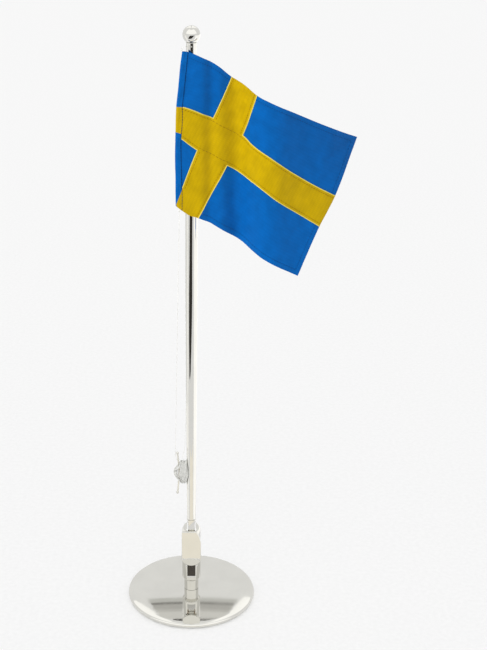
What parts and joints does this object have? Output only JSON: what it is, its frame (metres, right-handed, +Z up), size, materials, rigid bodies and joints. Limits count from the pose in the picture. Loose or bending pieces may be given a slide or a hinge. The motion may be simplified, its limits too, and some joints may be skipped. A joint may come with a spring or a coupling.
{
  "type": "desk flag stand",
  "caption": "Desk flag stand: a slim polished pole with a ball finial folds back over a round weighted foot and carries a small sewn cross flag on a halyard with a cleat.",
  "frame": {"origin": "centre of the felt pad's underside, on the surface the stand rests on", "axes": "+Z up along the pole, -Y the front, +X the side the flag flies to"},
  "size_m": [0.147, 0.088, 0.3941],
  "materials": {
    "polished_nickel": "polished nickel plate over turned brass",
    "plain_steel": "plain turned steel, hidden in the foot and the pivot",
    "bronze": "rolled phosphor bronze friction washers",
    "felt": "pressed wool felt",
    "nylon_line": "clear white nylon line",
    "black_nylon": "black moulded nylon pad",
    "blue_satin": "woven blue satin",
    "yellow_satin": "woven yellow satin"
  },
  "bodies": {
    "stand": {"base_disc": "polished_nickel", "ballast_weight": "plain_steel", "felt_pad": "felt", "base_screw": "plain_steel", "hinge_fork": "polished_nickel", "stop_plate": "polished_nickel", "pivot_pin": "plain_steel", "friction_pad": "black_nylon", "friction_washer_left": "bronze", "friction_washer_right": "bronze"},
    "pole": {"hinge_tang": "polished_nickel", "pole_rod": "polished_nickel", "finial_ball": "polished_nickel", "cleat": "polished_nickel", "line_winding": "nylon_line", "halyard_line": "nylon_line"},
    "line_knots": {"upper_knot": "nylon_line", "lower_knot": "nylon_line"},
    "flag": {"canton_upper": "blue_satin", "canton_lower": "blue_satin", "fly_upper": "blue_satin", "fly_lower": "blue_satin", "hoist_sleeve": "blue_satin", "cross_upright_upper": "yellow_satin", "cross_upright_lower": "yellow_satin", "cross_bar": "yellow_satin"}
  },
  "joints": [
    {"name": "pole_fold", "type": "hinge", "parent": "stand", "child": "pole", "pos_m": [0, 0, 0.03], "axis": [-1, 0, 0], "range_deg": [0, 90]},
    {"name": "flag_hoist", "type": "slide", "parent": "pole", "child": "line_knots", "axis": [-0.0189, 0, -0.9998], "range_m": [0, 0.155]},
    {"name": "flag_swing", "type": "hinge", "parent": "line_knots", "child": "flag", "pos_m": [-0.0056, -0.0048, 0.3812], "axis": [0.0189, 0, 0.9998], "range_deg": [-150, 0]}
  ]
}
